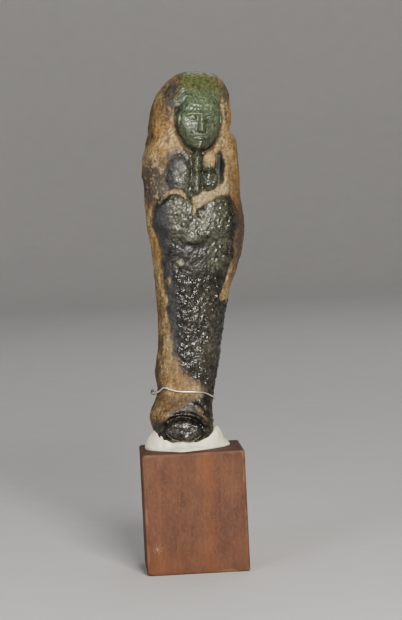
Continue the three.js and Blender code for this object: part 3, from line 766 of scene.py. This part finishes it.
# the figurine: carved rings, fine relief along their normals, colour and finish kept at each point
def makeFigurine():
    heights = ringHeights()
    turn = 2 * np.pi * np.arange(figure["columns"]) / figure["columns"]
    angles = turn - figure["crowding"] * np.sin(turn)
    angle, height = np.meshgrid(angles, heights)
    points, across, facing = figurePoints(angle, height, soleScale(height))
    masks = glazeMasks(points, across, facing)
    normals = gridNormals(points)
    normals[..., 2] = np.where(height < figure["soleRound"], -np.abs(normals[..., 2]), normals[..., 2])
    relief = fineRelief(points, masks) * ease(0.2, 1.4, height)
    rings = points + normals * relief[..., None]

    # dirt and painted shade darken the hollows: where the relief is below its own average over a few
    # millimetres
    total = relief + carving(across, height, facing)
    below = smoothed(total, 7) - total
    belowArms = hill(height - arms["bottom"], 3) * masks["solid"]
    spared = np.maximum.reduce([0.7 * masks["bands"], 0.7 * belowArms, 0.4 * (1 - ease(8, 12, height))])
    hollowDirtAndShade = ease(0.03, 0.4, below) * ease(1, 3, height) * (1 - spared)
    colour = bodyColour(points, masks)
    solid = masks["solid"][..., None]
    colour = colour + solid * (glazeColour(points, masks) - colour)
    colour = over(colour, 0.6 * hill(masks["solid"] - 0.45, 0.45) * (1 - masks["bands"]), "slate")
    # painted shade with dirt: pitch laid into the hollows, less on the glaze
    colour = over(colour, hollowDirtAndShade * (0.8 - 0.35 * masks["solid"]), "pitch")
    glossy = masks["solid"] * 0.3 + 0.7 * bubbling(masks)
    matt = mattGlaze(masks)
    whole = np.ones_like(height)[..., None]
    attributes = {
        "tone": np.concatenate([colour, whole], axis=-1),
        "finish": np.stack([masks["solid"], glossy, matt, whole[..., 0]], axis=-1),
    }
    place = lambda p: leaned(p, figure["lean"], figure["sole"]) * mm
    crownPoint = place(np.array([0, 0, figure["height"] + 0.02]))
    piece = closedSkin("figurineSkin", place(rings), place(np.zeros(3)), crownPoint, attributes)
    piece.data.materials.append(figurineMaterial())
    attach(piece, "root")
    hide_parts("figurine")


# average of a grid over a square window, round the rings and up the rows, by running sums
def smoothed(values, reach):
    for axis, mode in ((0, "edge"), (1, "wrap")):
        pad = [(0, 0), (0, 0)]
        pad[axis] = (reach + 1, reach)
        total = np.cumsum(np.pad(values, pad, mode=mode), axis=axis)
        width = 2 * reach + 1
        upper = np.take(total, np.arange(width, total.shape[axis]), axis=axis)
        lower = np.take(total, np.arange(0, total.shape[axis] - width), axis=axis)
        values = (upper - lower) / width
    return values


# glaze and bare body in one: the points' own colour, in grains, glossier where the glaze has bubbled
def figurineMaterial():
    s = Shader("pittedGlaze")
    solid, glossy, matt = s.split(s.attribute("finish"))
    tone = s.attribute("tone")
    place = s.place()
    fine = s.noise(place, 1700, 4, 0.7)
    grain = s.noise(place, 4200, 3, 0.6)

    # the same tone darker or lighter in fine grains, and dark specks in the bare body
    shade = s.mix(s.ease(0.36, 0.64, fine), (0.55, 0.52, 0.48, 1), (1.35, 1.36, 1.36, 1))
    multiply = {"data_type": "RGBA", "blend_type": "MULTIPLY"}
    grained = s.node("ShaderNodeMix", multiply, {0: 0.9, 6: tone, 7: shade}, 2)
    specks = (1 - s.ease(0.28, 0.42, s.noise(place, 2600, 2, 0.5))) * (1 - solid) * 0.8
    speckled = s.mix(specks, grained, (*tones["umber"], 1))
    glazeRoughness = 0.66 - solid * 0.28 - glossy * 0.21 + matt * solid * 0.3
    roughness = glazeRoughness + s.ease(0.45, 0.7, grain) * 0.06
    ripples = s.noise(place, 1700, 1, 0.4) * glossy * 2.4
    pores = s.bump((fine + grain * 0.4) * (1 - solid * 0.75) + ripples, 0.6, 0.00018)
    return s.finish({"Base Color": speckled, "Roughness": roughness, "Normal": pores, "IOR": 1.54})


makeFigurine()
print("stage: figurine")

putty = {
    "columns": 220, "upRows": 14, "outRows": 46, "edge": 0.5, "gap": 0.03,
    "contact": [
        [-180, 1.6], [-120, 2.2], [-92, 3.1], [-68, 2.9], [-50, 1.9], [-39, 1.2], [-26, 0.4],
        [-8, 0.9], [28, 0.9], [40, 1.4], [52, 2.3], [66, 3.5], [82, 4.1], [102, 3.5], [130, 2.2],
        [180, 1.6],
    ],
    "rim": [
        [-180, 10.6], [-145, 10.6], [-118, 10.5], [-96, 9.9], [-62, 9.2], [-40, 9], [-24, 9.5],
        [-3, 11.2], [14, 9.9], [36, 9.5], [62, 9.9], [84, 11.2], [97, 11.8], [110, 10.9],
        [140, 10.2], [180, 10.6],
    ],
    "slope": [
        [-180, 0.8], [-100, 0.95], [-30, 0.7], [20, 0.8], [50, 1.3], [90, 1.4], [130, 1.1],
        [180, 0.8],
    ],
    "lobe": [
        [-180, 0], [-85, 0.1], [-40, 0], [44, 0], [60, 0.7], [82, 1.3], [102, 1], [130, 0.2],
        [180, 0],
    ],
    "flank": {"middle": 0.38, "reach": 0.38},
    "underEdge": ((1.003, 0.25), (1.0, 0.45), (0.97, 0.5)),
}


# the putty: rings under the sole, up the foot, over the lip, down the flank to the rim, back below;
# the flank falls from lip to rim by the power slope of the share, with a lobe's hill added
def makePutty():
    top = block["high"][2] + 0.02
    angle = 2 * np.pi * np.arange(putty["columns"]) / putty["columns"] - np.pi
    degrees = np.degrees(angle)
    soleX = figure["soleX"]
    flank = putty["flank"]
    lean = lambda p: leaned(p, figure["lean"], figure["sole"])
    onFoot = lambda height: lean(figurePoints(angle, height, soleScale(height), putty["gap"])[0])
    rest = np.zeros_like(angle)
    lip = onFoot(along(putty["contact"], degrees))
    reach = along(putty["rim"], degrees)
    rimX, rimY = soleX + reach * np.sin(angle), -reach * np.cos(angle)
    rim = np.stack([rimX, rimY, rest + top + putty["edge"]], axis=-1)
    slope = along(putty["slope"], degrees)

    contact = along(putty["contact"], degrees)
    rings = [lean(figurePoints(angle, rest, scale * soleScale(0), 0)[0]) for scale in (0.3, 0.7, 1)]
    rings += [onFoot(share * contact) for share in np.linspace(0.1, 1, putty["upRows"])]
    for share in np.linspace(0, 1, putty["outRows"] + 1)[1:]:
        ring = lip + share * (rim - lip)
        ring[:, 2] = lip[:, 2] + (rim[:, 2] - lip[:, 2]) * share ** slope
        ring[:, 2] += along(putty["lobe"], degrees) * hill(share - flank["middle"], flank["reach"])
        rings.append(ring)
    for share, drop in putty["underEdge"]:
        ring = rim.copy()
        ring[:, :2] = [soleX, 0] + share * (ring[:, :2] - [soleX, 0])
        ring[:, 2] = top + putty["edge"] - drop
        rings.append(ring)
    rings = np.array(rings)[::-1]
    normals = -gridNormals(rings[::-1])[::-1]
    outer = np.zeros(len(rings))
    under = len(putty["underEdge"])
    outer[under:under + putty["outRows"]] = np.sin(np.linspace(0, np.pi, putty["outRows"])) ** 0.5
    dents = 0.34 * noise(rings, 3.1, 61) + 0.16 * noise(rings, 1.3, 62) + 0.03 * noise(rings, 0.5, 63)
    rings = rings - normals * (dents * outer[:, None])[..., None]
    underside = np.array([soleX, 0, top])
    underSole = lean(np.array([0, 0, -0.01]))
    piece = closedSkin("pressedPutty", rings * mm, underside * mm, underSole * mm)
    piece.data.materials.append(puttyMaterial())
    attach(piece, "root")
    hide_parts("putty_seat")


# cream in clouds, a little dust, and fine creases
def puttyMaterial():
    s = Shader("creamPutty")
    place = s.place()
    cloud = s.noise(place, 240, 4, 0.6)
    dust = s.noise(place, 1400, 4, 0.7)
    cream = s.mix(s.ease(0.35, 0.7, cloud), (0.93, 0.85, 0.65, 1), (0.97, 0.91, 0.75, 1))
    colour = s.mix(s.ease(0.62, 0.76, dust) * 0.3, cream, (0.48, 0.40, 0.28, 1))
    creases = s.noise(s.stretched((1, 1, 1.8)), 700, 5, 0.6)
    return s.finish({
        "Base Color": colour,
        "Roughness": 0.42 + cloud * 0.3,
        "Normal": s.bump(creases, 0.5, 0.00022),
        "Subsurface Weight": 0.06,
        "Subsurface Radius": (0.0012, 0.0009, 0.0006),
        "IOR": 1.48,
    })


makePutty()
print("stage: putty")

wood = {
    "stepsAcross": 88, "stepsUp": 104, "edge": 0.55, "wear": 0.35, "chip": (1.9, 1.0), "streak": 3.2,
    "streakWidth": 2.6, "chipDepth": 1.4,
    "scratches": {
        "place": (-10.2, 6.8), "reach": 2.1, "width": 0.1, "angles": (14, 52, 97, 118, 155),
        "front": (-12, -11),
    },
}
stain = {
    "deep": (0.100, 0.047, 0.031, 1), "red": (0.150, 0.070, 0.042, 1), "orange": (0.210, 0.076, 0.029, 1),
    "weave": (0.225, 0.118, 0.068, 1), "fibre": (0.225, 0.105, 0.055, 1), "pore": (0.055, 0.024, 0.016, 1),
    "darkStainAndShade": (0.045, 0.024, 0.020, 1), "bare": (0.30, 0.17, 0.11, 1), "scratch": (0.33, 0.22, 0.13, 1),
    "speck": (0.62, 0.52, 0.42, 1),
}


# steps from -1 to 1 over a face: closer together near the edges, by a blend with a sine
def crowdedSteps(count):
    even = np.linspace(-1, 1, count + 1)
    return 0.72 * even + 0.28 * np.sin(even * np.pi / 2)


# the six faces of a cube from -1 to 1 as one closed grid of rings with a cap at each end
def cubeRings():
    steps = crowdedSteps(wood["stepsAcross"])
    ups = crowdedSteps(wood["stepsUp"])
    side = np.concatenate([
        np.stack([steps[:-1], -np.ones(len(steps) - 1)], axis=-1),
        np.stack([np.ones(len(steps) - 1), steps[:-1]], axis=-1),
        np.stack([-steps[:-1], np.ones(len(steps) - 1)], axis=-1),
        np.stack([-np.ones(len(steps) - 1), -steps[:-1]], axis=-1),
    ])
    caps = np.linspace(0, 1, wood["stepsAcross"] // 2 + 1)[1:-1] ** 0.8
    ring = lambda share, up: np.column_stack([share * side, np.full(len(side), up)])
    rings = [ring(share, -1) for share in caps]
    rings += [ring(1, up) for up in ups]
    rings += [ring(share, 1) for share in caps[::-1]]
    return np.array(rings)


# the block: each point of the cube is pulled in to the worn radius about a smaller core
def makeBlock():
    low, high = block["low"], block["high"]
    half = (high - low) / 2
    middle = (high + low) / 2
    cube = cubeRings() * half
    wearDepth = wood["wear"] * (0.5 + 0.5 * noise(cube + 40, 5.5, 71))
    worn = wood["edge"] + wearDepth * ease(0.2, 0.9, noise(cube, 9, 72) + 0.5)
    core = np.clip(cube, -(half - worn[..., None]), half - worn[..., None])
    out = cube - core
    length = np.linalg.norm(out, axis=-1, keepdims=True)
    points = core + worn[..., None] * out / np.maximum(length, 1e-9)

    # a chip off the front's lower left corner: deeper towards the corner, with a rough floor
    reach = (points + half) / np.array([wood["chip"][0], wood["chipDepth"], wood["chip"][1]])
    depth = np.clip(1 - reach.sum(axis=-1), 0, None)
    rough = 1 + 0.3 * noise(points, 0.6, 73)
    points = points + depth[..., None] * np.array([0.5, 0.35, 0.6]) * rough[..., None]
    edgeDistance = np.sort(half - np.abs(points), axis=-1)[..., 1]
    wearNoise = noise(points, 1.6, 74) + 0.6 * noise(points, 0.6, 75)
    bare = (1 - ease(0.1, 0.85, edgeDistance + 0.3 * wearNoise)) * (0.6 + 0.4 * noise(points, 4, 76))

    # darker: painted shade on the top face and towards the bottom, darker along the edges, and clouds of
    # stain; warm: an orange streak and clouds
    top = ease(0.2, 0.9, points[..., 2] - half[2] + 1)
    cloud = 0.8 * noise(points * np.array([1, 1, 0.6]), 6.5, 78) + 0.4 * noise(points, 2.2, 79)
    rim = 1 - ease(0.0, 2.6, edgeDistance + 0.8 * noise(points, 3, 77))
    darkStainAndShade = np.clip(0.7 * top + 0.35 * rim + 0.35 * cloud - 0.012 * points[..., 2], 0, 1)
    streak = hill(points[..., 0] - wood["streak"] + 0.6 * noise(points, 6, 80), wood["streakWidth"])
    foot = 1 - ease(-22, -8, points[..., 2] + 0.6 * points[..., 0])
    warm = np.clip(0.5 * streak + 0.6 * foot + 0.5 * cloud, 0, 1) * (1 - top)
    # the wear attribute holds the bare edges, the darkening of stain and painted shade, and the warm
    # places
    wear = np.stack([bare, darkStainAndShade, warm, 0 * bare + 1], axis=-1)
    first = middle + [0, 0, -half[2]]
    last = middle + [0, 0, half[2]]
    piece = closedSkin("mahoganyBlock", (points + middle) * mm, first * mm, last * mm, {"wear": wear})
    piece.data.materials.append(woodMaterial())
    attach(piece, "root")
    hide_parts("wooden_block")


# mahogany: stained red in clouds, with fibres, pores, darker places of stain and painted shade, warmer
# places and bare edges
def woodMaterial():
    s = Shader("mahogany")
    bare, darkStainAndShade, warm = s.split(s.attribute("wear"))
    place = s.place()
    fibre = s.noise(s.stretched((1, 1, 0.08)), 700, 5, 0.6)
    pores = s.noise(s.stretched((1, 1, 0.2)), 2600, 3, 0.6)
    weave = s.noise(s.stretched((1, 1, 0.6)), 1900, 4, 0.7)
    cloud = s.noise(s.stretched((1, 1, 0.45)), 240, 4, 0.6)
    red = s.mix(s.ease(0.3, 0.7, cloud), stain["deep"], stain["red"])
    red = s.mix(warm * 0.8, red, stain["orange"])
    red = s.mix(s.ease(0.46, 0.66, weave) * 0.28, red, stain["weave"])
    red = s.mix(s.ease(0.48, 0.70, fibre) * 0.3, red, stain["fibre"])
    red = s.mix(s.ease(0.55, 0.72, pores) * 0.3, red, stain["pore"])
    # painted shade on the top face and low down, with the stain's dark clouds and darker edges
    red = s.mix(darkStainAndShade * 0.55, red, stain["darkStainAndShade"])
    red = s.mix(bare * 0.5, red, stain["bare"])

    # pale scratches crossing at one place low on the front: close to a line, and near the place
    x, y, z = s.split(place)
    scratches = wood["scratches"]
    width, reach = scratches["width"] * mm, scratches["reach"] * mm
    fromX, fromZ = x - scratches["place"][0] * mm, z - scratches["place"][1] * mm
    distance = (fromX * fromX + fromZ * fromZ) ** 0.5
    lines = 0.0
    for angle in scratches["angles"]:
        offset = abs(fromX * sin(radians(angle)) - fromZ * cos(radians(angle)))
        lines = lines + (1 - s.ease(0.3 * width, width, offset))
    front = 1 - s.ease(scratches["front"][0] * mm, scratches["front"][1] * mm, y)
    lines = lines * front * s.ease(0.3, 0.6, weave) * (1 - s.ease(0.4 * reach, reach, distance))
    red = s.mix(lines * 0.6, red, stain["scratch"])

    # pale specks: the middles of a few of the cells
    toCell = s.cells(place, 300, "Distance")
    number = s.split(s.cells(place, 300, "Color"))[0]
    speck = (1 - s.ease(0.04, 0.07, toCell)) * s.ease(0.86, 0.88, number)
    return s.finish({
        "Base Color": s.mix(speck * 0.8, red, stain["speck"]),
        "Roughness": 0.58 + weave * 0.16,
        "Normal": s.bump(weave + fibre * 0.5, 0.3, 0.00012),
        "Specular IOR Level": 0.3,
    })


makeBlock()
print("stage: wooden block")

wire = {
    "radius": 0.22, "sides": 14, "steps": 420,
    "route": [
        [-112, 12.3, 1.15], [-92, 12.4, 1.15], [-66, 12.8, 0.7], [-54, 13.4, 0.8], [-43, 14.25, 0.95],
        [-30, 13.9, 0.75], [-14, 13.45, 0.6], [12, 13.45, 0.6], [34, 13.2, 0.6], [62, 12.1, 0.65],
        [92, 11.3, 0.8], [140, 11.6, 0.65], [200, 12.1, 0.65], [226, 12.3, 0.7],
    ],
    "twist": {"turns": 1.5, "radius": 0.55, "pitch": 0.58},
}


# the route round the ankles, then a small helix about its own start
def wireRoute():
    stops = np.array(wire["route"])
    degrees = np.arange(stops[0, 0], stops[-1, 0], 4.0)
    height = along(stops[:, :2], degrees)
    standoff = along(stops[:, [0, 2]], degrees)
    loop = figurePoints(np.radians(degrees), height, 1.0, standoff)[0]
    start = loop[0]
    forward = loop[2] - start
    forward = forward / np.linalg.norm(forward)
    upward = np.array([0, 0, 1.0])
    outward = -np.cross(upward, forward)
    twist = wire["twist"]
    turns = np.linspace(0, twist["turns"], 25)[:, None]
    helix = start + forward * twist["pitch"] * (turns + 0.35)
    helix = helix - upward * twist["radius"] * np.cos(2 * np.pi * turns)
    helix = helix + outward * twist["radius"] * np.sin(2 * np.pi * turns)
    return np.concatenate([loop, helix])


# a round tube along a path: even steps by length, each ring square to the path
def makeWire():
    path = wireRoute()
    length = np.concatenate([[0], np.cumsum(np.linalg.norm(np.diff(path, axis=0), axis=1))])
    even = np.linspace(0, length[-1], wire["steps"])
    centre = np.stack([np.interp(even, length, path[:, k]) for k in range(3)], axis=-1)
    kernel = np.hanning(13) / np.hanning(13).sum()
    padded = np.pad(centre, ((6, 6), (0, 0)), mode="reflect", reflect_type="odd")
    centre = np.stack([np.convolve(padded[:, k], kernel, mode="valid") for k in range(3)], axis=-1)
    forward = np.gradient(centre, axis=0)
    forward = forward / np.linalg.norm(forward, axis=1, keepdims=True)
    side = np.cross(forward, [0.3, 0.2, 1.0])
    side = side / np.linalg.norm(side, axis=1, keepdims=True)
    top = np.cross(forward, side)
    around = 2 * np.pi * np.arange(wire["sides"]) / wire["sides"]
    rings = centre[:, None] + wire["radius"] * (
        side[:, None] * np.cos(around)[None, :, None] + top[:, None] * np.sin(around)[None, :, None]
    )
    place = lambda p: leaned(p, figure["lean"], figure["sole"]) * mm
    share = np.linspace(0, 1, wire["steps"])
    darkTwistReflection = ease(0.93, 0.955, share) + 1 - ease(0.02, 0.06, share)  # painted dark reflection at the twist, at both ends of the path
    darkTwistReflection = np.repeat(np.stack([darkTwistReflection, darkTwistReflection, darkTwistReflection, 0 * darkTwistReflection + 1], axis=-1)[:, None], wire["sides"], axis=1)
    piece = closedSkin("bentWire", place(rings), place(centre[0]), place(centre[-1]), {"darkTwistReflection": darkTwistReflection})
    piece.data.materials.append(wireMaterial())
    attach(piece, "root")
    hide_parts("ankle_wire")


# silvery metal, tarnished in clouds, with a painted dark reflection at the twist
def wireMaterial():
    s = Shader("silverWire")
    place = s.place()
    tarnish = s.noise(place, 420, 4, 0.6)
    scuffs = s.noise(place, 2600, 3, 0.6)
    colour = s.mix(s.ease(0.6, 0.85, tarnish), (0.96, 0.92, 0.83, 1), (0.45, 0.38, 0.29, 1))
    # painted dark reflection laid over the twist
    colour = s.mix(s.attribute("darkTwistReflection") * 0.85, colour, (0.08, 0.065, 0.05, 1))
    return s.finish({
        "Base Color": colour,
        "Roughness": 0.26 + tarnish * 0.2,
        "Metallic": 1.0,
        "Normal": s.bump(scuffs, 0.3, 0.00004),
    })


makeWire()
print("stage: wire")


floor = {"flat": 1.25, "bendRadius": 0.5, "wall": 1.1, "columns": 72}
lights = [
    {
        "name": "key", "azimuth": 9, "elevation": 18, "distance": 0.9, "size": (0.22, 0.22),
        "power": 8.6, "colour": (1.0, 0.97, 0.92),
    },
    {
        "name": "fill", "azimuth": -32, "elevation": 14, "distance": 1.0, "size": (0.35, 0.45),
        "power": 2.4, "colour": (0.93, 0.96, 1.0),
    },
    {
        "name": "back", "azimuth": 165, "elevation": 45, "distance": 1.1, "size": (0.6, 0.6),
        "power": 1.4, "colour": (1.0, 1.0, 1.0),
    },
]


# a pale round floor that curves up at its rim: flat, quarter circle, straight
def makeBackdrop():
    bend = np.linspace(0, np.pi / 2, 16)
    flat, radius = floor["flat"], floor["bendRadius"]
    reach = np.concatenate([[0.15, 0.5], flat + radius * np.sin(bend), [flat + radius]])[:, None]
    height = np.concatenate([[0, 0], radius - radius * np.cos(bend), [floor["wall"]]])[:, None]
    turn = 2 * np.pi * np.arange(floor["columns"]) / floor["columns"]
    rings = np.stack([reach * np.cos(turn), reach * np.sin(turn), height + 0 * turn], axis=-1)
    at = 1 + np.arange(rings[..., 0].size).reshape(rings.shape[:2])
    after = np.roll(at, -1, axis=1)
    faces = np.stack([at[:-1], at[1:], after[1:], after[:-1]], axis=-1).reshape(-1, 4).tolist()
    faces += np.stack([0 * at[0], at[0], after[0]], axis=-1).tolist()
    mesh = bpy.data.meshes.new("backdrop")
    mesh.from_pydata([(0, 0, 0)] + rings.reshape(-1, 3).tolist(), [], faces)
    mesh.polygons.foreach_set("use_smooth", np.ones(len(faces), bool))
    backdrop = bpy.data.objects.new("backdrop", mesh)
    bpy.context.scene.collection.objects.link(backdrop)
    s = Shader("paleFloor")
    paper = s.noise(s.place(), 90, 3, 0.5)
    colour = s.mix(paper, (0.72, 0.705, 0.68, 1), (0.77, 0.755, 0.73, 1))
    mesh.materials.append(s.finish({"Base Color": colour, "Roughness": 0.85}))


# an area light aimed at a point of the figure
def makeLight(name, azimuth, elevation, distance, size, power, colour):
    aim = Vector((0, 0, 0.07))
    turn = Matrix.Rotation(radians(azimuth), 4, "Z") @ Matrix.Rotation(radians(90 - elevation), 4, "X")
    lamp = bpy.data.lights.new(name, "AREA")
    lamp.shape = "RECTANGLE"
    lamp.size, lamp.size_y = size
    lamp.energy = power
    lamp.color = colour
    light = bpy.data.objects.new(name, lamp)
    light.matrix_world = Matrix.Translation(aim) @ turn @ Matrix.Translation((0, 0, distance))
    bpy.context.scene.collection.objects.link(light)


# a dim, slightly blue sky light
def makeWorld():
    world = bpy.data.worlds.new("studio")
    world.use_nodes = True
    background = world.node_tree.nodes["Background"]
    background.inputs["Color"].default_value = (0.93, 0.95, 1.0, 1)
    background.inputs["Strength"].default_value = 0.16
    bpy.context.scene.world = world


makeBackdrop()
for light in lights:
    makeLight(**light)
makeWorld()
print("stage: floor and light")


# brings the view layer up to date
def writeSizes():
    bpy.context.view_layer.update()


writeSizes()
